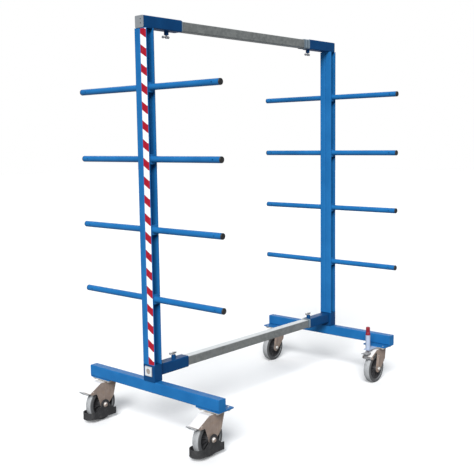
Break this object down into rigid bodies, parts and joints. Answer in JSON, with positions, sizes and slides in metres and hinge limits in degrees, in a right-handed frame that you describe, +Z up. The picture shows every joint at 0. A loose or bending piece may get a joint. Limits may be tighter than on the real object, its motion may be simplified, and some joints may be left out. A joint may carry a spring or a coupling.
{
  "type": "mobile cantilever rack",
  "caption": "Mobile double-sided cantilever rack for long stock: two column frames on braked swivel casters, joined by telescoping square bars, with round arms on both sides.",
  "frame": {"origin": "on the floor under the centre of the rack's bounding box at rest", "axes": "+X along the rack from the taped column to the lock column, +Y across it from front to back, +Z up"},
  "size_m": [1.777, 1.02, 2.141],
  "materials": {
    "rail_paint": "satin powder coat",
    "blue_paint": "satin powder coat",
    "base_paint": "satin powder coat, a darker batch",
    "foot_plate_paint": "satin powder coat",
    "arm_paint": "satin powder coat",
    "bush_plastic": "matte",
    "near_plug_plastic": "matte",
    "plug_plastic": "matte",
    "tape": "red and white stripes",
    "zinc_head": "zinc plated",
    "zinc_fork": "yellow-grey zinc plated",
    "galvanised": "galvanised",
    "screw_steel": "dark",
    "cap_plastic": "matte",
    "rim_plastic": "matte",
    "tyre_grey": "smooth grey rubber",
    "pedal_grey": "matte",
    "pedal_dark": "matte",
    "guard_black": "matte black",
    "lock_white": "matte",
    "lock_red": "semi gloss"
  },
  "bodies": {
    "near_frame": {"near_rails": "rail_paint", "near_column_base": "base_paint", "near_foot_beam": "blue_paint", "near_foot_plates": "foot_plate_paint", "near_top_sleeve": "base_paint", "near_bottom_sleeve": "base_paint", "near_end_plugs": "near_plug_plastic", "near_bush": "bush_plastic", "near_caster_heads": "zinc_head", "warning_tape": "tape"},
    "crossbars": {"crossbars": "galvanised"},
    "far_frame": {"far_rails": "rail_paint", "far_column_base": "base_paint", "far_foot_beam": "blue_paint", "far_foot_plates": "foot_plate_paint", "far_top_sleeve": "base_paint", "far_bottom_sleeve": "base_paint", "far_end_plugs": "plug_plastic", "far_bushes": "bush_plastic", "far_caster_heads": "zinc_head", "lock_housing": "lock_white"},
    "lock_pin": {"lock_pin": "lock_red"},
    "near_top_clamp_screw": {"near_top_clamp_screw": "screw_steel"},
    "near_bottom_clamp_screw": {"near_bottom_clamp_screw": "screw_steel"},
    "far_top_clamp_screw": {"far_top_clamp_screw": "screw_steel"},
    "far_bottom_clamp_screw": {"far_bottom_clamp_screw": "screw_steel"},
    "near_arm_pair_1": {"near_arms_1": "arm_paint", "near_arm_caps_1": "cap_plastic"},
    "near_arm_pair_2": {"near_arms_2": "arm_paint", "near_arm_caps_2": "cap_plastic"},
    "near_arm_pair_3": {"near_arms_3": "arm_paint", "near_arm_caps_3": "cap_plastic"},
    "near_arm_pair_4": {"near_arms_4": "arm_paint", "near_arm_caps_4": "cap_plastic"},
    "far_arm_pair_1": {"far_arms_1": "arm_paint", "far_arm_caps_1": "cap_plastic"},
    "far_arm_pair_2": {"far_arms_2": "arm_paint", "far_arm_caps_2": "cap_plastic"},
    "far_arm_pair_3": {"far_arms_3": "arm_paint", "far_arm_caps_3": "cap_plastic"},
    "far_arm_pair_4": {"far_arms_4": "arm_paint", "far_arm_caps_4": "cap_plastic"},
    "near_front_swivel": {"near_front_fork": "zinc_fork", "near_front_guard": "guard_black"},
    "near_front_wheel": {"near_front_rim": "rim_plastic", "near_front_tyre": "tyre_grey"},
    "near_front_brake": {"near_front_pedal": "pedal_grey"},
    "near_back_swivel": {"near_back_fork": "zinc_fork", "near_back_guard": "guard_black"},
    "near_back_wheel": {"near_back_rim": "rim_plastic", "near_back_tyre": "tyre_grey"},
    "near_back_brake": {"near_back_pedal": "pedal_grey"},
    "far_front_swivel": {"far_front_fork": "zinc_fork"},
    "far_front_wheel": {"far_front_rim": "rim_plastic", "far_front_tyre": "tyre_grey"},
    "far_front_brake": {"far_front_pedal": "pedal_dark"},
    "far_back_swivel": {"far_back_fork": "zinc_fork"},
    "far_back_wheel": {"far_back_rim": "rim_plastic", "far_back_tyre": "tyre_grey"},
    "far_back_brake": {"far_back_pedal": "pedal_dark"}
  },
  "joints": [
    {"name": "near_telescope", "type": "slide", "parent": "near_frame", "child": "crossbars", "axis": [1, 0, 0], "range_m": [-0.04, 0.08]},
    {"name": "far_telescope", "type": "slide", "parent": "crossbars", "child": "far_frame", "axis": [1, 0, 0], "range_m": [-0.04, 0.08]},
    {"name": "lock_pin_pull", "type": "slide", "parent": "far_frame", "child": "lock_pin", "axis": [0, 0, 1], "range_m": [0, 0.02]},
    {"name": "near_top_clamp_screw_turn", "type": "hinge", "parent": "near_frame", "child": "near_top_clamp_screw", "pos_m": [-0.5815, 0, 2.111], "axis": [0, 0, 1], "range_deg": [-180, 180]},
    {"name": "near_bottom_clamp_screw_turn", "type": "hinge", "parent": "near_frame", "child": "near_bottom_clamp_screw", "pos_m": [-0.5815, 0, 0.347], "axis": [0, 0, 1], "range_deg": [-180, 180]},
    {"name": "far_top_clamp_screw_turn", "type": "hinge", "parent": "far_frame", "child": "far_top_clamp_screw", "pos_m": [0.6345, 0, 2.111], "axis": [0, 0, 1], "range_deg": [-180, 180]},
    {"name": "far_bottom_clamp_screw_turn", "type": "hinge", "parent": "far_frame", "child": "far_bottom_clamp_screw", "pos_m": [0.6345, 0, 0.347], "axis": [0, 0, 1], "range_deg": [-180, 180]},
    {"name": "near_arm_pair_1_height", "type": "slide", "parent": "near_frame", "child": "near_arm_pair_1", "axis": [0, 0, 1], "range_m": [-0.14, 0.14]},
    {"name": "near_arm_pair_2_height", "type": "slide", "parent": "near_frame", "child": "near_arm_pair_2", "axis": [0, 0, 1], "range_m": [-0.14, 0.14]},
    {"name": "near_arm_pair_3_height", "type": "slide", "parent": "near_frame", "child": "near_arm_pair_3", "axis": [0, 0, 1], "range_m": [-0.14, 0.14]},
    {"name": "near_arm_pair_4_height", "type": "slide", "parent": "near_frame", "child": "near_arm_pair_4", "axis": [0, 0, 1], "range_m": [-0.14, 0.14]},
    {"name": "far_arm_pair_1_height", "type": "slide", "parent": "far_frame", "child": "far_arm_pair_1", "axis": [0, 0, 1], "range_m": [-0.14, 0.14]},
    {"name": "far_arm_pair_2_height", "type": "slide", "parent": "far_frame", "child": "far_arm_pair_2", "axis": [0, 0, 1], "range_m": [-0.14, 0.14]},
    {"name": "far_arm_pair_3_height", "type": "slide", "parent": "far_frame", "child": "far_arm_pair_3", "axis": [0, 0, 1], "range_m": [-0.14, 0.14]},
    {"name": "far_arm_pair_4_height", "type": "slide", "parent": "far_frame", "child": "far_arm_pair_4", "axis": [0, 0, 1], "range_m": [-0.14, 0.14]},
    {"name": "near_front_swivel_turn", "type": "hinge", "parent": "near_frame", "child": "near_front_swivel", "pos_m": [-0.7025, -0.407, 0.213], "axis": [0, 0, 1], "continuous": true},
    {"name": "near_front_wheel_spin", "type": "hinge", "parent": "near_front_swivel", "child": "near_front_wheel", "pos_m": [-0.7575, -0.407, 0.09], "axis": [0, 1, 0], "continuous": true},
    {"name": "near_front_brake_press", "type": "hinge", "parent": "near_front_swivel", "child": "near_front_brake", "pos_m": [-0.8265, -0.407, 0.168], "axis": [0, -1, 0], "range_deg": [0, 10]},
    {"name": "near_back_swivel_turn", "type": "hinge", "parent": "near_frame", "child": "near_back_swivel", "pos_m": [-0.7025, 0.407, 0.213], "axis": [0, 0, 1], "continuous": true},
    {"name": "near_back_wheel_spin", "type": "hinge", "parent": "near_back_swivel", "child": "near_back_wheel", "pos_m": [-0.7575, 0.407, 0.09], "axis": [0, 1, 0], "continuous": true},
    {"name": "near_back_brake_press", "type": "hinge", "parent": "near_back_swivel", "child": "near_back_brake", "pos_m": [-0.8265, 0.407, 0.168], "axis": [0, -1, 0], "range_deg": [0, 10]},
    {"name": "far_front_swivel_turn", "type": "hinge", "parent": "far_frame", "child": "far_front_swivel", "pos_m": [0.8255, -0.407, 0.213], "axis": [0, 0, 1], "continuous": true},
    {"name": "far_front_wheel_spin", "type": "hinge", "parent": "far_front_swivel", "child": "far_front_wheel", "pos_m": [0.7705, -0.407, 0.09], "axis": [0, 1, 0], "continuous": true},
    {"name": "far_front_brake_press", "type": "hinge", "parent": "far_front_swivel", "child": "far_front_brake", "pos_m": [0.7015, -0.407, 0.168], "axis": [0, -1, 0], "range_deg": [0, 10]},
    {"name": "far_back_swivel_turn", "type": "hinge", "parent": "far_frame", "child": "far_back_swivel", "pos_m": [0.8255, 0.407, 0.213], "axis": [0, 0, 1], "continuous": true},
    {"name": "far_back_wheel_spin", "type": "hinge", "parent": "far_back_swivel", "child": "far_back_wheel", "pos_m": [0.7705, 0.407, 0.09], "axis": [0, 1, 0], "continuous": true},
    {"name": "far_back_brake_press", "type": "hinge", "parent": "far_back_swivel", "child": "far_back_brake", "pos_m": [0.7015, 0.407, 0.168], "axis": [0, -1, 0], "range_deg": [0, 10]}
  ]
}
